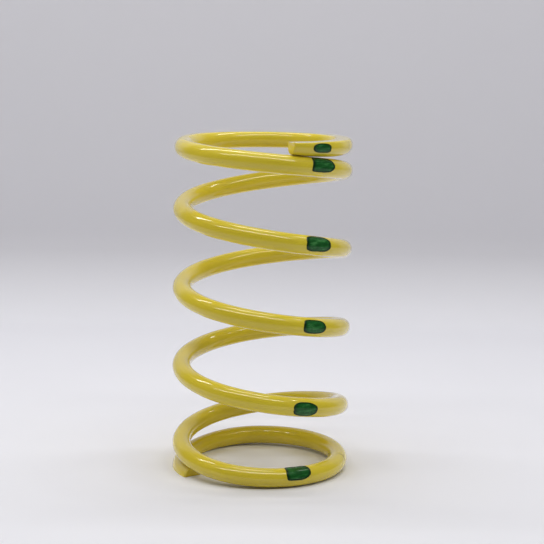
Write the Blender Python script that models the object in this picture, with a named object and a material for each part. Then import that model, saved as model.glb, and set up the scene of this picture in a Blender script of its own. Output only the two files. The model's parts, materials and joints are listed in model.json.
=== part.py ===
"""Left-hand helical compression spring for a coil-over damper, with closed and ground ends.

The wire is one piece that works by twisting. Here it is divided into quarter-turn links, and each link
turns on a hinge that runs along the wire's centreline, so that the chain of links closes up as the real
wire does. Six daubs of marking paint sit on the outside of the turns.

Frame: metres, +Z up along the spring's axis, origin at the centre of the lower ground face.
"""

import math

import bmesh
import bpy
from mathutils import Matrix, Quaternion, Vector

# Driving dimensions
WIRE_DIAMETER = 0.0086
MEAN_RADIUS = 0.0368
FREE_LENGTH = 0.154
TURNS = 5.789
START_ANGLE = math.radians(-146.6)  # the lower tip, seen from above; the wire climbs clockwise
WIRE_RADIUS = WIRE_DIAMETER / 2

# Pitch: the lower end coil lies flat, opens into the active coils, and closes again under the upper tip.
# Positions along the wire are in turns from the lower tip, lengths along it are in turns, pitches are
# in metres per turn.
LOWER_BED = WIRE_RADIUS - 0.0002  # height of the flat part of the lower end coil
LOWER_TIP_HEIGHT = -0.0008
LOWER_TIP_TURNS = 0.33
LOWER_BOW = 0.0010  # the lower end coil arches this far off the seat between its tip and its other side
BOW_START, BOW_TURNS = 0.12, 0.6
OPEN_START, OPEN_TURNS = 0.70, 0.38
ACTIVE_PITCH = 0.0366
CLOSE_START, CLOSE_TURNS = 4.2738, 1.215
UPPER_END_PITCH = 0.0010
UPPER_LIFT, UPPER_LIFT_TURNS = 0.0021, 0.20
LOWER_END_SCALE, UPPER_END_SCALE = 0.994, 0.985  # the end coils are wound a little tighter
END_SCALE_START, END_SCALE_TURNS = 0.5, 1.5

# Division of the wire into links
FIRST_CUT = 0.125
LINK_TURNS = 0.25
LOWER_SEAT_LINKS = 4
ACTIVE_LINKS = 14
UPPER_SEAT_LINKS = 4
LINK_GAP = 0.0003
LINK_TILT = math.radians(7.4)  # how far each active link tips when the spring is fully compressed
END_LINK_TILT_SHARE = 0.5

# Facets
SIDES = 16
STATIONS_PER_TURN = 40

# Paint: each daub's centre and half length in turns, and its lower and upper edge as angles round the
# wire, where 0 is straight out and positive is up
PAINT_MARKS = (
    (0.770, 0.0245, -0.08, 1.35),
    (1.760, 0.0243, -0.91, 0.78),
    (2.744, 0.0240, -0.62, 0.99),
    (3.738, 0.0270, -0.58, 1.25),
    (4.728, 0.0260, -0.43, 1.28),
    (5.732, 0.0210, -0.80, 0.33),
)
PAINT_END_TAPER = 0.45  # share of the width lost at each end of a daub
PAINT_CLEARANCE = 0.00025
PAINT_THICKNESS = 0.00035
PAINT_COLUMNS, PAINT_ROWS = 8, 8

YELLOW = (0.62, 0.50, 0.055, 1.0)
GREEN = (0.006, 0.085, 0.030, 1.0)


def clear_scene():
    for obj in list(bpy.data.objects):
        bpy.data.objects.remove(obj, do_unlink=True)


def make_material(name, colour, roughness):
    material = bpy.data.materials.new(name)
    material.use_nodes = True
    shader = material.node_tree.nodes["Principled BSDF"]
    shader.inputs["Base Color"].default_value = colour
    shader.inputs["Roughness"].default_value = roughness
    shader.inputs["Metallic"].default_value = 0.0
    return material


def share(value, start, length):
    """How far value has gone from start over length, held between 0 and 1."""
    return min(max((value - start) / length, 0.0), 1.0)


def smooth(x):
    return x * x * (3 - 2 * x)


def eased_turns(turn, start, length):
    """Turns wound at full pitch by a helix whose pitch grows smoothly from zero over length."""
    x = share(turn, start, length)
    beyond = max(turn - start - length, 0.0)
    return length * (x**3 - x**4 / 2) + beyond


def centre_height(turn):
    climb = ACTIVE_PITCH * eased_turns(turn, OPEN_START, OPEN_TURNS)
    closing = (ACTIVE_PITCH - UPPER_END_PITCH) * eased_turns(turn, CLOSE_START, CLOSE_TURNS)
    dip = (LOWER_BED - LOWER_TIP_HEIGHT) * (1 - smooth(share(turn, 0.0, LOWER_TIP_TURNS)))
    bow = LOWER_BOW * math.sin(math.pi * share(turn, BOW_START, BOW_TURNS)) ** 2
    lift = UPPER_LIFT * share(turn, TURNS - UPPER_LIFT_TURNS, UPPER_LIFT_TURNS) ** 2
    return LOWER_BED + climb - closing - dip + bow + lift


def coil_radius(turn):
    lower = 1 - smooth(share(turn, END_SCALE_START, END_SCALE_TURNS))
    upper = smooth(share(turn, TURNS - END_SCALE_START - END_SCALE_TURNS, END_SCALE_TURNS))
    return MEAN_RADIUS * (1 - (1 - LOWER_END_SCALE) * lower - (1 - UPPER_END_SCALE) * upper)


def outward(turn):
    angle = START_ANGLE - 2 * math.pi * turn
    return Vector((math.cos(angle), math.sin(angle), 0.0))


def centre(turn):
    return coil_radius(turn) * outward(turn) + Vector((0.0, 0.0, centre_height(turn)))


def section_axes(turn):
    """The directions straight out of and up across the wire, square to its centreline."""
    step = 1e-4
    along = (centre(turn + step) - centre(turn - step)).normalized()
    out = outward(turn)
    out = (out - out.dot(along) * along).normalized()
    return out, out.cross(along).normalized() * -1


def on_wire(turn, angle, radius):
    """A point at radius from the centreline; angle is 0 straight out and positive upwards."""
    out, up = section_axes(turn)
    if up.z < 0:
        up = -up
    return centre(turn) + radius * (math.cos(angle) * out + math.sin(angle) * up)


def cut_positions():
    cuts = [0.0]
    cuts += [FIRST_CUT + LINK_TURNS * i for i in range(LOWER_SEAT_LINKS + ACTIVE_LINKS + UPPER_SEAT_LINKS + 1)]
    return cuts + [TURNS]


def turns_of(length):
    return length / (2 * math.pi * MEAN_RADIUS)


def wire_link(start, end):
    """The closed, faceted solid of one stretch of wire, with square ends and its ground flats."""
    inset = turns_of(LINK_GAP / 2)
    first = start + (inset if start > 0 else 0.0)
    last = end - (inset if end < TURNS else 0.0)
    steps = math.ceil((last - first) * STATIONS_PER_TURN)
    bm = bmesh.new()
    rings = []
    for i in range(steps + 1):
        turn = first + (last - first) * i / steps
        angles = [2 * math.pi * (k + 0.5) / SIDES for k in range(SIDES)]
        rings.append([bm.verts.new(on_wire(turn, angle, WIRE_RADIUS)) for angle in angles])
    for ring, following in zip(rings, rings[1:]):
        for k in range(SIDES):
            m = (k + 1) % SIDES
            bm.faces.new((ring[k], ring[m], following[m], following[k]))
    bm.faces.new(rings[0])
    bm.faces.new(rings[-1])
    bmesh.ops.recalc_face_normals(bm, faces=bm.faces)
    grind(bm, 0.0, -1)
    grind(bm, FREE_LENGTH, 1)
    bmesh.ops.recalc_face_normals(bm, faces=bm.faces)
    return bm


def grind(bm, height, side):
    """Cut off whatever stands past a ground face, and close the cut with a flat face."""
    if all(side * (v.co.z - height) <= 0 for v in bm.verts):
        return
    cut = bmesh.ops.bisect_plane(
        bm,
        geom=bm.verts[:] + bm.edges[:] + bm.faces[:],
        dist=1e-7,
        plane_co=(0, 0, height),
        plane_no=(0, 0, side),
        clear_outer=True,
    )
    rim = [e for e in cut["geom_cut"] if isinstance(e, bmesh.types.BMEdge) and e.is_boundary]
    bmesh.ops.edgeloop_fill(bm, edges=rim)


def paint_daub(centre_turn, half_turns, low, high):
    """A thin shell patch with round ends, lying over the outside of the wire."""
    bm = bmesh.new()
    layers = []
    for radius in (WIRE_RADIUS + PAINT_CLEARANCE, WIRE_RADIUS + PAINT_CLEARANCE + PAINT_THICKNESS):
        rows = []
        for i in range(PAINT_COLUMNS + 1):
            along = 2 * i / PAINT_COLUMNS - 1
            half = (high - low) / 2 * (1 - abs(along) ** 4 * PAINT_END_TAPER)
            middle = (low + high) / 2
            angles = [middle + half * (2 * k / PAINT_ROWS - 1) for k in range(PAINT_ROWS + 1)]
            turn = centre_turn + along * half_turns
            rows.append([bm.verts.new(on_wire(turn, angle, radius)) for angle in angles])
        layers.append(rows)
    inner, outer = layers
    for rows in layers:
        for i in range(PAINT_COLUMNS):
            for k in range(PAINT_ROWS):
                bm.faces.new((rows[i][k], rows[i][k + 1], rows[i + 1][k + 1], rows[i + 1][k]))
    border = [(0, k) for k in range(PAINT_ROWS)]
    border += [(i, PAINT_ROWS) for i in range(PAINT_COLUMNS)]
    border += [(PAINT_COLUMNS, PAINT_ROWS - k) for k in range(PAINT_ROWS)]
    border += [(PAINT_COLUMNS - i, 0) for i in range(PAINT_COLUMNS)]
    for (i, k), (m, n) in zip(border, border[1:] + border[:1]):
        bm.faces.new((inner[i][k], inner[m][n], outer[m][n], outer[i][k]))
    bmesh.ops.recalc_face_normals(bm, faces=bm.faces)
    return bm


def link_tilt(i):
    """Tilt of body i about its own outward direction, fully compressed; 0 and the last are the seats."""
    if i < 1 or i > ACTIVE_LINKS:
        return Quaternion()
    tilt = LINK_TILT * (END_LINK_TILT_SHARE if i in (1, ACTIVE_LINKS) else 1.0)
    middle = FIRST_CUT + LINK_TURNS * (LOWER_SEAT_LINKS + i - 0.5)
    return Quaternion(outward(middle), tilt)


def hinges():
    """Point, axis and full turn of the hinge below each body above the lower seat."""
    found = []
    for i in range(1, ACTIVE_LINKS + 2):
        turn = FIRST_CUT + LINK_TURNS * (LOWER_SEAT_LINKS + i - 1)
        axis, angle = (link_tilt(i - 1).inverted() @ link_tilt(i)).to_axis_angle()
        found.append((centre(turn), axis.normalized(), angle))
    return found


def add_piece(name, bm, material, parent):
    """Make the object with its origin on its body's hinge, and its mesh in that hinge's frame."""
    place = parent.matrix_world if parent else Matrix.Identity(4)
    bm.transform(place.inverted())
    mesh = bpy.data.meshes.new(name)
    bm.to_mesh(mesh)
    bm.free()
    mesh.materials.append(material)
    mesh.shade_smooth()
    mesh.set_sharp_from_angle(angle=math.radians(40))
    obj = bpy.data.objects.new(name, mesh)
    bpy.context.scene.collection.objects.link(obj)
    obj.parent = parent
    return obj


def add_hinge(name, point, axis, parent):
    """An empty on the hinge, with its local Z along the axis."""
    empty = bpy.data.objects.new(name, None)
    empty.empty_display_size = WIRE_DIAMETER
    bpy.context.scene.collection.objects.link(empty)
    world = Matrix.Translation(point) @ axis.to_track_quat("Z", "Y").to_matrix().to_4x4()
    empty.parent = parent
    empty.matrix_basis = (parent.matrix_world.inverted() if parent else Matrix.Identity(4)) @ world
    bpy.context.view_layer.update()
    return empty


def link_name(index):
    """Name of the wire link with this index, counted from the lower tip."""
    last = LOWER_SEAT_LINKS + ACTIVE_LINKS + UPPER_SEAT_LINKS + 1
    if index == 0:
        return "lower_tip"
    if index <= LOWER_SEAT_LINKS:
        return f"lower_end_coil_{index}"
    if index <= LOWER_SEAT_LINKS + ACTIVE_LINKS:
        return f"active_coil_{index - LOWER_SEAT_LINKS:02d}"
    if index < last:
        return f"upper_end_coil_{index - LOWER_SEAT_LINKS - ACTIVE_LINKS}"
    return "upper_tip"


def body_of(index):
    """Body that a wire link belongs to: 0 is the lower seat, the last is the upper seat."""
    return min(max(index - LOWER_SEAT_LINKS, 0), ACTIVE_LINKS + 1)


def main():
    clear_scene()
    bodies = [None]
    for i, (point, axis, _angle) in enumerate(hinges(), 1):
        bodies.append(add_hinge(f"wire_hinge_{i:02d}", point, axis, bodies[-1]))

    cuts = cut_positions()
    for index, (start, end) in enumerate(zip(cuts, cuts[1:])):
        name = link_name(index)
        coating = make_material(f"yellow_coating_{name}", YELLOW, 0.22)
        add_piece(name, wire_link(start, end), coating, bodies[body_of(index)])

    for number, mark in enumerate(PAINT_MARKS, 1):
        name = f"paint_mark_{number}"
        paint = make_material(f"green_paint_{number}", GREEN, 0.18)
        index = sum(cut <= mark[0] for cut in cuts) - 1
        add_piece(name, paint_daub(*mark), paint, bodies[body_of(index)])


main()
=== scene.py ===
"""A coil-over spring standing in a light tent: one thick wire under a glossy yellow coating,
wound left-handed, its ends closed and ground flat, with six daubs of green marking paint.

The wire is made as smooth pieces that meet in the middle of the frame's links.
Metres, +Z up along the coil's axis, origin at the centre of the lower ground face.
"""

import json
import math

import bpy
import numpy as np
from mathutils import Matrix, Vector


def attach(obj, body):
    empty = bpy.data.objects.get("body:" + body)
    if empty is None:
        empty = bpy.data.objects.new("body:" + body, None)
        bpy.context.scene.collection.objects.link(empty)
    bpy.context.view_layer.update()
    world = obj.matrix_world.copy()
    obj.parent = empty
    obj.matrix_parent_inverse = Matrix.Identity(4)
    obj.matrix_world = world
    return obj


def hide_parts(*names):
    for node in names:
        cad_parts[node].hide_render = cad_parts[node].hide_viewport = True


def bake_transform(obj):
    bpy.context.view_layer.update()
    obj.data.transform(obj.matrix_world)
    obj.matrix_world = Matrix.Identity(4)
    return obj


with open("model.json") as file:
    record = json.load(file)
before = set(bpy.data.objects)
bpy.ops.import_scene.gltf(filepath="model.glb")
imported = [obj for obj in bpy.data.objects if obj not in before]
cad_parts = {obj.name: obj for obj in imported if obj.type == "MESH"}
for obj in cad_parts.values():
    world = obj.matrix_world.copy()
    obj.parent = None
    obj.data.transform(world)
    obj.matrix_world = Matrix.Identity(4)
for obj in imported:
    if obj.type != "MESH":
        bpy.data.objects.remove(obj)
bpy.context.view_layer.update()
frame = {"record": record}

# The wire, as in the frame but for the two tips, which here almost touch the next coil.
# Positions and lengths along the wire are in turns from the lower tip.
WIRE_RADIUS = 0.0043
MEAN_RADIUS = 0.0368
FREE_LENGTH = 0.154
TURNS = 5.789
START_ANGLE = math.radians(-146.6)
LOWER_BED = WIRE_RADIUS - 0.0002
LOWER_TIP_HEIGHT = -0.0005
LOWER_TIP_TURNS = 0.33
LOWER_BOW = 0.0010
BOW_START, BOW_TURNS = 0.12, 0.6
OPEN_START, OPEN_TURNS = 0.70, 0.38
ACTIVE_PITCH = 0.0366
CLOSE_START, CLOSE_TURNS = 4.2738, 1.215
UPPER_END_PITCH = 0.0010
UPPER_LIFT, UPPER_LIFT_TURNS = 0.0018, 0.20
LOWER_END_SCALE, UPPER_END_SCALE = 0.994, 0.985
END_SCALE_START, END_SCALE_TURNS = 0.5, 1.5

# Links of the frame: the first bending piece starts in the middle of the lower seat's last link
FIRST_BEND = 1.0
LINK_TURNS = 0.25
BENDING_PIECES = 15
BEND_SHARE = 0.84  # share of a piece's length, used only for a reach that nothing reads

# Smooth surface
STATIONS_PER_TURN = 260
AROUND = 72
EDGE_SOFTNESS = 0.0007  # how wide the coating rounds the ground edges
RIM_RADIUS = 0.0006  # rounding of the wire's cut ends
RIM_RINGS = 6
CAP_RINGS = 10
CAP_HOLE = 0.002  # share of a cap's reach left for its last ring
WAVE_HEIGHT = 0.000022  # unevenness of the coating

# Paint daubs: centre and half length in turns, low and high edge round the wire in radians, and
# how square the outline is on the side towards the upper tip and on the other side
DAUBS = (
    (0.7700, 0.0245, -0.10, 1.75, 7.0, 2.8),
    (1.7600, 0.0243, -0.88, 0.74, 2.7, 2.4),
    (2.7440, 0.0240, -0.60, 0.97, 3.2, 2.6),
    (3.7380, 0.0270, -0.58, 1.22, 4.0, 2.6),
    (4.7280, 0.0260, -0.50, 1.20, 8.0, 2.3),
    (5.7320, 0.0205, -0.58, 0.42, 2.6, 3.0),
)
DAUB_FILM = 0.00013
DAUB_RIM = 0.00010
DAUB_STREAKS = 0.00002
DAUB_CLEARANCE = 0.000012
RIM_START, BEAD_WIDTH, EDGE_WIDTH = 0.93, 0.05, 0.07  # shares of the daub's reach
DAUB_HOLE = 0.004
DAUB_WOBBLE = 0.055
DAUB_RINGS, DAUB_SPOKES = 22, 96

# A wrinkle in the coating
CREASE_TURN, CREASE_BEND = 0.6290, 0.0055
CREASE_ANGLES = (1.45, 0.25)
CREASE_WIDTH, CREASE_HEIGHT = 0.00055, 0.00012
CREASE_STATIONS, CREASE_COLUMNS = 48, 9
CREASE_CLEARANCE = 0.00001

# Colours
COATING_DEEP = (0.700, 0.550, 0.032)
COATING_LIGHT = (0.740, 0.590, 0.036)
COATING_SPECK = (0.420, 0.320, 0.040)
# painted shadow: the crease's dark brown stands in for the shade along the wrinkle
CREASE_SHADOW_LINE = (0.200, 0.140, 0.020)
PAINT_DARK = (0.003, 0.022, 0.004)
PAINT_DEEP = (0.006, 0.070, 0.011)
PAINT_GREEN = (0.013, 0.118, 0.020)
PAINT_LIGHT = (0.050, 0.210, 0.055)
CLOTH = (0.832, 0.829, 0.866)
CLOTH_SHADE = (0.818, 0.815, 0.852)
# painted shade: the wall's greyer cloth stands in for the weaker light on the upright wall
CLOTH_WALL_SHADE = (0.640, 0.632, 0.662)

# The tent: one sheet for floor and wall, whose cloth is painted greyer above the floor as painted
# shade of the wall
SHEET_FRONT, SHEET_CORNER, SHEET_RADIUS, SHEET_TOP = -1.6, 0.33, 0.06, 2.2
SHEET_HALF_WIDTH = 2.6
CORNER_STEPS = 24
WALL_SHADE_RISE = 0.045  # height over which the floor's cloth turns into the wall's painted shade

# Lamps: two strips under the roof, the glowing roof itself, and the side walls
STRIPS = (("strip_front", -0.28), ("strip_back", 0.13))
STRIP_X, STRIP_HEIGHT, STRIP_SIZE, STRIP_POWER = -0.06, 0.62, (0.9, 0.045), 1.9
ROOF_Y, ROOF_HEIGHT, ROOF_SIZE, ROOF_POWER = -0.05, 0.75, (1.4, 0.7), 0.70
WALLS = (("wall_left", -0.60, 0.95), ("wall_right", 0.60, 1.2))
WALL_Y, WALL_HEIGHT, WALL_AIM, WALL_SIZE = 0.05, 0.30, 0.08, (0.8, 0.6)
ROOM_COLOUR, ROOM_STRENGTH = (0.93, 0.94, 1.0), 0.08

# Camera: a lens of 101 mm on a 36 mm sensor, 0.7 m in front of the axis
LENS, SENSOR = 101.4, 36.0
CAMERA_DISTANCE, CAMERA_HEIGHT = 0.6974, 0.2016
CAMERA_PITCH, CAMERA_PAN, CAMERA_ROLL = 0.15622, -0.00662, -0.01357


# --- the wire's centreline and surface ---


def share(value, start, length):
    return np.clip((value - start) / length, 0.0, 1.0)


def smooth(x):
    return x * x * (3 - 2 * x)


def eased_turns(turn, start, length):
    """Turns wound at full pitch by a helix whose pitch grows smoothly from zero over length."""
    x = share(turn, start, length)
    return length * (x**3 - x**4 / 2) + np.maximum(turn - start - length, 0.0)


def centre_height(turn):
    climb = ACTIVE_PITCH * eased_turns(turn, OPEN_START, OPEN_TURNS)
    closing = (ACTIVE_PITCH - UPPER_END_PITCH) * eased_turns(turn, CLOSE_START, CLOSE_TURNS)
    dip = (LOWER_BED - LOWER_TIP_HEIGHT) * (1 - smooth(share(turn, 0.0, LOWER_TIP_TURNS)))
    bow = LOWER_BOW * np.sin(math.pi * share(turn, BOW_START, BOW_TURNS)) ** 2
    lift = UPPER_LIFT * share(turn, TURNS - UPPER_LIFT_TURNS, UPPER_LIFT_TURNS) ** 3
    return LOWER_BED + climb - closing - dip + bow + lift


def coil_radius(turn):
    lower = 1 - smooth(share(turn, END_SCALE_START, END_SCALE_TURNS))
    upper = smooth(share(turn, TURNS - END_SCALE_START - END_SCALE_TURNS, END_SCALE_TURNS))
    return MEAN_RADIUS * (1 - (1 - LOWER_END_SCALE) * lower - (1 - UPPER_END_SCALE) * upper)


def outward(turn):
    angle = START_ANGLE - 2 * math.pi * turn
    return np.stack([np.cos(angle), np.sin(angle), np.zeros_like(angle)], -1)


def centre(turn):
    turn = np.asarray(turn, float)
    spot = coil_radius(turn)[..., None] * outward(turn)
    spot[..., 2] = centre_height(turn)
    return spot


def unit(v):
    return v / np.linalg.norm(v, axis=-1, keepdims=True)


def tangent(turn):
    return unit(centre(turn + 1e-4) - centre(turn - 1e-4))


def coating_waves(turn, angle):
    """The coating's slow unevenness along and round the wire, between -1 and 1."""
    s = 2 * math.pi * turn
    waves = np.sin(9.3 * s + 1.7 * np.sin(angle + 0.6 * s)) * np.cos(angle - 2.1 * s)
    ripples = np.sin(23.7 * s + 2 * angle + 1.3) * np.sin(3 * angle - 5.3 * s)
    return 0.65 * waves + 0.35 * ripples


def ground(points):
    """Grind off what stands past the two end planes; the coating leaves the edge softly rounded."""
    out = points.copy()
    for height, side in ((FREE_LENGTH, 1), (0.0, -1)):
        past = side * (out[..., 2] - height)
        near = np.maximum(EDGE_SOFTNESS - np.abs(past), 0.0) / EDGE_SOFTNESS
        out[..., 2] = height + side * (np.minimum(past, 0.0) - near**2 * EDGE_SOFTNESS / 4)
    return out


def on_wire(turn, angle, lift=0.0):
    """Points on the wire; angle is 0 straight out and positive upwards, lift is off the wire."""
    turn, angle = np.broadcast_arrays(np.asarray(turn, float), np.asarray(angle, float))
    along = tangent(turn)
    out = outward(turn)
    out = unit(out - np.sum(out * along, -1, keepdims=True) * along)
    up = np.cross(along, out)
    up = up * np.sign(up[..., 2:3])
    radius = WIRE_RADIUS + WAVE_HEIGHT * coating_waves(turn, angle) + lift
    ring = np.cos(angle)[..., None] * out + np.sin(angle)[..., None] * up
    return ground(centre(turn) + radius[..., None] * ring)


# --- meshes ---


def add_object(name, points, faces, material, normals=None, inside=None):
    """A smooth mesh object whose faces point away from inside, a point behind the first one."""
    if inside is not None:
        a, b, c = (points[i] for i in faces[0][:3])
        if np.cross(b - a, c - a) @ (a - inside) < 0:
            faces = [face[::-1] for face in faces]
    mesh = bpy.data.meshes.new(name)
    mesh.from_pydata([tuple(p) for p in points], [], faces)
    mesh.shade_smooth()
    if normals is not None:
        mesh.normals_split_custom_set_from_vertices([tuple(n) for n in normals])
    mesh.materials.append(material)
    obj = bpy.data.objects.new(name, mesh)
    bpy.context.scene.collection.objects.link(obj)
    return obj


def tube_faces(rings, around):
    """Quads between rings of around vertices each, facing outwards."""
    faces = []
    for i in range(rings - 1):
        for k in range(around):
            m = (k + 1) % around
            a, b = i * around, (i + 1) * around
            faces.append((a + k, b + k, b + m, a + m))
    return faces


def grid_normals(grid):
    """Outward normals of a tube's grid of points, from its own slopes."""
    along = np.gradient(grid, axis=0)
    round_it = np.roll(grid, -1, axis=1) - np.roll(grid, 1, axis=1)
    normals = unit(np.cross(round_it, along))
    middle = grid.mean(axis=1, keepdims=True)
    flip = np.sign(np.sum(normals * (grid - middle), -1, keepdims=True))
    return normals * np.where(flip == 0, 1, flip)


def end_rings(outline, away):
    """Rings that round over a cut end and close it, from its last full outline."""
    middle = outline.mean(axis=0)
    reach = np.linalg.norm(outline - middle, axis=1, keepdims=True)
    spokes = (outline - middle) / reach
    rings = []
    for i in range(1, RIM_RINGS + 1):
        t = math.pi / 2 * i / RIM_RINGS
        inset = RIM_RADIUS * (1 - math.cos(t))
        rings.append(middle + spokes * (reach - inset) + away * RIM_RADIUS * math.sin(t))
    for i in range(1, CAP_RINGS + 1):
        left = 1 - i / CAP_RINGS
        inner = spokes * (reach - RIM_RADIUS) * max(left, CAP_HOLE)
        rings.append(middle + away * RIM_RADIUS + inner)
    return rings


def wire_piece(name, start, end, material, cut_start=False, cut_end=False):
    """A stretch of the wire; a cut end is rounded over and closed."""
    steps = max(math.ceil((end - start) * STATIONS_PER_TURN), 4)
    rim_turns = RIM_RADIUS / (2 * math.pi * MEAN_RADIUS)
    first = start + (rim_turns if cut_start else 0.0)
    last = end - (rim_turns if cut_end else 0.0)
    step = (last - first) / steps
    turns = first + step * np.arange(-1, steps + 2)
    angles = np.linspace(-math.pi, math.pi, AROUND, endpoint=False)
    grid = on_wire(turns[:, None], angles[None, :])
    normals = grid_normals(grid)[1:-1]
    grid = grid[1:-1]
    rings, ring_normals = list(grid), list(normals)
    if cut_start or cut_end:
        outline = grid[0] if cut_start else grid[-1]
        turn = first if cut_start else last
        away = tangent(np.array(turn)) * (-1 if cut_start else 1)
        extra = end_rings(outline, away)
        spokes = unit(outline - outline.mean(axis=0))
        bends = [math.pi / 2 * min(i, RIM_RINGS) / RIM_RINGS for i in range(1, len(extra) + 1)]
        extra_normals = [unit(spokes * math.cos(t) + away * math.sin(t)) for t in bends]
        if cut_start:
            rings, ring_normals = extra[::-1] + rings, extra_normals[::-1] + ring_normals
        else:
            rings, ring_normals = rings + extra, ring_normals + extra_normals
    points = np.concatenate(rings)
    normals = np.concatenate(ring_normals)
    faces = tube_faces(len(rings), AROUND)
    if cut_start:
        faces.append(tuple(range(AROUND)))
    if cut_end:
        faces.append(tuple(reversed(range(len(points) - AROUND, len(points)))))
    middle = len(rings) // 2
    faces = faces[AROUND * middle :] + faces[: AROUND * middle]
    return add_object(name, points, faces, material, normals, rings[middle].mean(axis=0))


def daub_outline(spokes, upper_power, lower_power, seed):
    """Reach of the daub along and round the wire at each spoke, each within 1."""
    c, s = np.cos(spokes), np.sin(spokes)
    power = np.where(c > 0, upper_power, lower_power)
    wobble = sum(np.sin(k * spokes + seed * k) / k for k in (3, 5, 8, 13))
    reach = (np.abs(c) ** power + np.abs(s) ** power) ** (-1 / power) * (1 + DAUB_WOBBLE * wobble)
    return reach * c, reach * s


def paint_daub(name, daub, seed, material):
    """A brushed-on film of paint, thickest in a bead along its edge."""
    turn, half_turns, low, high, upper_power, lower_power = daub
    spokes = np.linspace(0, 2 * math.pi, DAUB_SPOKES, endpoint=False)
    x, y = daub_outline(spokes, upper_power, lower_power, seed)
    points, rim = [], []
    for i in range(DAUB_RINGS + 1):
        r = max(math.sin(math.pi / 2 * i / DAUB_RINGS), DAUB_HOLE)
        bead = math.exp(-(((r - RIM_START) / BEAD_WIDTH) ** 2))
        edge = math.sqrt(max(1 - max(r - RIM_START, 0) ** 2 / EDGE_WIDTH**2, 0.0))
        streaks = DAUB_STREAKS * np.sin(17 * y * r + seed) * (1 - r**4)
        lift = (DAUB_FILM + DAUB_RIM * bead + streaks) * edge + DAUB_CLEARANCE
        angle = (low + high) / 2 + (high - low) / 2 * r * y
        points.append(on_wire(turn + half_turns * r * x, angle, lift))
        rim.append(np.full(DAUB_SPOKES, r))
    faces = tube_faces(DAUB_RINGS + 1, DAUB_SPOKES)
    faces.append(tuple(range(DAUB_SPOKES)))
    obj = add_object(name, np.concatenate(points), faces, material, inside=centre(turn))
    attribute = obj.data.attributes.new("rim", "FLOAT", "POINT")
    attribute.data.foreach_set("value", np.concatenate(rim).astype(np.float32))
    return obj


def coating_crease(name, material):
    """A thin tapered ridge where the coating has wrinkled across the wire of the lower end coil."""
    along = np.linspace(0.0, 1.0, CREASE_STATIONS)
    turns = CREASE_TURN + CREASE_BEND * (2 * along - 1) ** 2
    angles = CREASE_ANGLES[0] + (CREASE_ANGLES[1] - CREASE_ANGLES[0]) * along
    taper = np.sin(math.pi * along) ** 0.5
    across = np.linspace(-1.0, 1.0, CREASE_COLUMNS)
    half_width = CREASE_WIDTH / 2 / (2 * math.pi * MEAN_RADIUS)
    lift = CREASE_HEIGHT * taper[:, None] * (1 - across[None, :] ** 2) + CREASE_CLEARANCE
    spread = half_width * taper[:, None] * across[None, :]
    grid = on_wire(turns[:, None] + spread, angles[:, None], lift)
    rows, columns = grid.shape[:2]
    faces = []
    for i in range(rows - 1):
        for k in range(columns - 1):
            a = i * columns + k
            faces.append((a, a + 1, a + columns + 1, a + columns))
    return add_object(name, grid.reshape(-1, 3), faces, material, inside=centre(turns[0]))


# --- materials ---


def new_material(name):
    material = bpy.data.materials.new(name)
    material.use_nodes = True
    return material, material.node_tree, material.node_tree.nodes["Principled BSDF"]


def noise(tree, scale, detail=2.0, roughness=0.5, stretch=(1, 1, 1)):
    nodes, links = tree.nodes, tree.links
    place = nodes.new("ShaderNodeTexCoord")
    mapping = nodes.new("ShaderNodeMapping")
    mapping.inputs["Scale"].default_value = stretch
    texture = nodes.new("ShaderNodeTexNoise")
    texture.inputs["Scale"].default_value = scale
    texture.inputs["Detail"].default_value = detail
    texture.inputs["Roughness"].default_value = roughness
    links.new(place.outputs["Object"], mapping.inputs["Vector"])
    links.new(mapping.outputs["Vector"], texture.inputs["Vector"])
    return texture.outputs["Fac"]


def ramp(tree, factor, *stops):
    node = tree.nodes.new("ShaderNodeValToRGB")
    elements = node.color_ramp.elements
    while len(elements) < len(stops):
        elements.new(0.5)
    for element, (position, colour) in zip(elements, stops):
        element.position, element.color = position, (*colour, 1.0)
    tree.links.new(factor, node.inputs["Fac"])
    return node.outputs["Color"]


def remap(tree, value, low, high, start=0.0, stop=1.0):
    node = tree.nodes.new("ShaderNodeMapRange")
    node.inputs["From Min"].default_value = start
    node.inputs["From Max"].default_value = stop
    node.inputs["To Min"].default_value = low
    node.inputs["To Max"].default_value = high
    tree.links.new(value, node.inputs["Value"])
    return node.outputs["Result"]


def mix(tree, factor, first, second):
    node = tree.nodes.new("ShaderNodeMix")
    node.data_type = "RGBA"
    tree.links.new(factor, node.inputs["Factor"])
    for value, socket in ((first, node.inputs["A"]), (second, node.inputs["B"])):
        if isinstance(value, tuple):
            socket.default_value = (*value, 1.0)
        else:
            tree.links.new(value, socket)
    return node.outputs["Result"]


def bump(tree, height, strength, distance, after=None):
    node = tree.nodes.new("ShaderNodeBump")
    node.inputs["Strength"].default_value = strength
    node.inputs["Distance"].default_value = distance
    tree.links.new(height, node.inputs["Height"])
    if after is not None:
        tree.links.new(after, node.inputs["Normal"])
    return node.outputs["Normal"]


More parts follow.
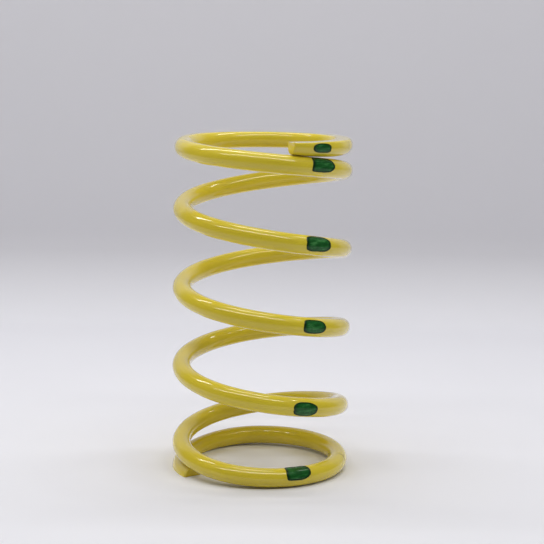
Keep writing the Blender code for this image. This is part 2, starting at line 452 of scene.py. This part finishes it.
def coating_material():
    """Thick glossy yellow coating: slow colour drift, orange peel, a few specks under the surface."""
    material, tree, shader = new_material("yellow_coating")
    drift = noise(tree, 38.0, 1.0)
    base = ramp(tree, drift, (0.30, COATING_DEEP), (0.70, COATING_LIGHT))
    specks = remap(tree, noise(tree, 1450.0, 1.0), 0.0, 0.6, 0.76, 0.80)
    colour = mix(tree, specks, base, COATING_SPECK)
    tree.links.new(colour, shader.inputs["Base Color"])
    haze = remap(tree, noise(tree, 90.0, 2.0), 0.20, 0.27, 0.25, 0.75)
    tree.links.new(haze, shader.inputs["Roughness"])
    shader.inputs["Specular IOR Level"].default_value = 0.15
    shader.inputs["Coat Weight"].default_value = 1.0
    shader.inputs["Coat Roughness"].default_value = 0.04
    shader.inputs["Coat IOR"].default_value = 1.5
    peel = bump(tree, noise(tree, 520.0, 1.0, 0.4), 0.012, 0.0001)
    slow = bump(tree, noise(tree, 110.0, 1.0), 0.12, 0.0002, peel)
    tree.links.new(slow, shader.inputs["Normal"])
    tree.links.new(slow, shader.inputs["Coat Normal"])
    return material


def crease_material():
    """The same coating, painted dark brown along the wrinkle as a painted shadow line."""
    material, tree, shader = new_material("yellow_crease_painted_shadow")
    streaks = noise(tree, 900.0, 2.0)
    colour = ramp(tree, streaks, (0.3, CREASE_SHADOW_LINE), (0.7, COATING_SPECK))
    tree.links.new(colour, shader.inputs["Base Color"])
    shader.inputs["Roughness"].default_value = 0.45
    return material


def paint_material(number):
    """Green marking paint, streaked by the brush and darker in the bead along its edge."""
    material, tree, shader = new_material(f"green_paint_{number}")
    rim = tree.nodes.new("ShaderNodeAttribute")
    rim.attribute_name = "rim"
    streaks = noise(tree, 560.0, 3.0, 0.6, (0.35, 0.35, 1.3))
    field = ramp(tree, streaks, (0.38, PAINT_DEEP), (0.54, PAINT_GREEN), (0.70, PAINT_LIGHT))
    pooled = remap(tree, rim.outputs["Fac"], 0.0, 0.9, 0.70, 0.90)
    tree.links.new(mix(tree, pooled, field, PAINT_DARK), shader.inputs["Base Color"])
    gloss = remap(tree, noise(tree, 300.0, 2.0), 0.16, 0.30, 0.3, 0.7)
    tree.links.new(gloss, shader.inputs["Roughness"])
    shader.inputs["Specular IOR Level"].default_value = 0.2
    shader.inputs["Coat Weight"].default_value = 0.2
    shader.inputs["Coat Roughness"].default_value = 0.06
    tree.links.new(bump(tree, streaks, 0.22, 0.00015), shader.inputs["Normal"])
    return material


def backdrop_material():
    """White tent cloth with a faint mottle, painted greyer where it rises behind the floor as painted
    shade.
    """
    material, tree, shader = new_material("tent_cloth")
    floor = ramp(tree, noise(tree, 9.0, 4.0), (0.3, CLOTH_SHADE), (0.7, CLOTH))
    place = tree.nodes.new("ShaderNodeTexCoord")
    split = tree.nodes.new("ShaderNodeSeparateXYZ")
    tree.links.new(place.outputs["Object"], split.inputs["Vector"])
    # painted shade: the cloth turns greyer with height, standing in for the dimmer light on the wall
    wall_shade = remap(tree, split.outputs["Z"], 0.0, 1.0, 0.0, WALL_SHADE_RISE)
    tree.links.new(mix(tree, wall_shade, floor, CLOTH_WALL_SHADE), shader.inputs["Base Color"])
    shader.inputs["Roughness"].default_value = 0.85
    shader.inputs["Specular IOR Level"].default_value = 0.2
    return material


# --- the spring ---


def build_wire(coating):
    """The two end coils ride on the seats; the pieces between them are not attached to any body and
    do not bend.
    """
    bodies = ["lower_seat"] + [f"coil_{i:02d}" for i in range(1, BENDING_PIECES)] + ["upper_seat"]
    lower = wire_piece("lower_end_wire", 0.0, FIRST_BEND, coating, cut_start=True)
    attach(lower, bodies[0])
    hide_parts("lower_tip", *(f"lower_end_coil_{i}" for i in range(1, 5)))
    last = FIRST_BEND + LINK_TURNS * BENDING_PIECES
    upper = wire_piece("upper_end_wire", last, TURNS, coating, cut_end=True)
    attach(upper, bodies[-1])
    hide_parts("upper_tip", *(f"upper_end_coil_{i}" for i in range(2, 5)))
    for i in range(BENDING_PIECES):
        start = FIRST_BEND + LINK_TURNS * i
        hinge = start + LINK_TURNS / 2
        piece = wire_piece(f"bending_wire_{i + 1:02d}", start, start + LINK_TURNS, coating)
        spot, along = centre(hinge), tangent(np.array(hinge))
        ends = (start, start + LINK_TURNS)
        reach = BEND_SHARE * np.array([(centre(t) - spot) @ along for t in ends])
        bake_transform(piece)
        is_last = i == BENDING_PIECES - 1
        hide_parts("upper_end_coil_1" if is_last else f"active_coil_{i + 1:02d}")
    crease = coating_crease("coating_crease", crease_material())
    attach(crease, bodies[0])


def build_daubs():
    bodies = frame["record"]["behaviour"]["bodies"]
    carriers = {node: body for body, nodes in bodies.items() for node in nodes}
    for number, daub in enumerate(DAUBS, 1):
        piece = paint_daub(f"green_daub_{number}", daub, 1.9 * number, paint_material(number))
        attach(piece, carriers[f"paint_mark_{number}"])
        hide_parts(f"paint_mark_{number}")


# --- the light tent ---


def build_backdrop():
    """Floor and back wall as one sheet with a curved corner."""
    profile = [(SHEET_FRONT, 0.0), (-0.4, 0.0), (0.0, 0.0), (SHEET_CORNER, 0.0)]
    for i in range(1, CORNER_STEPS + 1):
        t = math.pi / 2 * i / CORNER_STEPS
        profile.append(
            (SHEET_CORNER + SHEET_RADIUS * math.sin(t), SHEET_RADIUS * (1 - math.cos(t)))
        )
    profile.append((SHEET_CORNER + SHEET_RADIUS, SHEET_TOP))
    points = [(x, y, z) for y, z in profile for x in (-SHEET_HALF_WIDTH, SHEET_HALF_WIDTH)]
    faces = [(2 * i, 2 * i + 1, 2 * i + 3, 2 * i + 2) for i in range(len(profile) - 1)]
    sheet = add_object("tent_sheet", points, faces, backdrop_material())


def area_light(name, place, target, size, power):
    light = bpy.data.lights.new(name, "AREA")
    light.shape = "RECTANGLE"
    light.size, light.size_y = size
    light.energy = power
    obj = bpy.data.objects.new(name, light)
    bpy.context.scene.collection.objects.link(obj)
    obj.location = place
    aim = Vector(target) - Vector(place)
    obj.rotation_euler = aim.to_track_quat("-Z", "Y").to_euler()
    obj.visible_camera = False
    return obj


def build_light():
    """Two strips of lamps under the tent's roof, and the soft glow of its roof and walls."""
    for name, y in STRIPS:
        below = (STRIP_X, y, 0.0)
        area_light(name, (STRIP_X, y, STRIP_HEIGHT), below, STRIP_SIZE, STRIP_POWER)
    area_light("roof", (0.0, ROOF_Y, ROOF_HEIGHT), (0.0, ROOF_Y, 0.0), ROOF_SIZE, ROOF_POWER)
    for name, x, power in WALLS:
        aim = (0.0, WALL_Y, WALL_AIM)
        wall = area_light(name, (x, WALL_Y, WALL_HEIGHT), aim, WALL_SIZE, power)
        wall.visible_glossy = False
    world = bpy.data.worlds.new("room")
    bpy.context.scene.world = world
    world.use_nodes = True
    background = world.node_tree.nodes["Background"]
    background.inputs["Color"].default_value = (*ROOM_COLOUR, 1.0)
    background.inputs["Strength"].default_value = ROOM_STRENGTH


def build_camera():
    data = bpy.data.cameras.new("camera")
    data.lens, data.sensor_width = LENS, SENSOR
    data.clip_start, data.clip_end = 0.01, 20.0
    camera = bpy.data.objects.new("camera", data)
    bpy.context.scene.collection.objects.link(camera)
    tilt = Matrix.Rotation(math.pi / 2 - CAMERA_PITCH, 4, "X")
    roll = Matrix.Rotation(-CAMERA_ROLL, 4, "Z")
    turn = Matrix.Rotation(CAMERA_PAN, 4, "Z") @ tilt @ roll
    camera.matrix_world = Matrix.Translation((0.0, -CAMERA_DISTANCE, CAMERA_HEIGHT)) @ turn
    bpy.context.scene.camera = camera


build_camera()
build_backdrop()
build_light()
build_wire(coating_material())
build_daubs()

bpy.context.scene.view_settings.view_transform = "Standard"
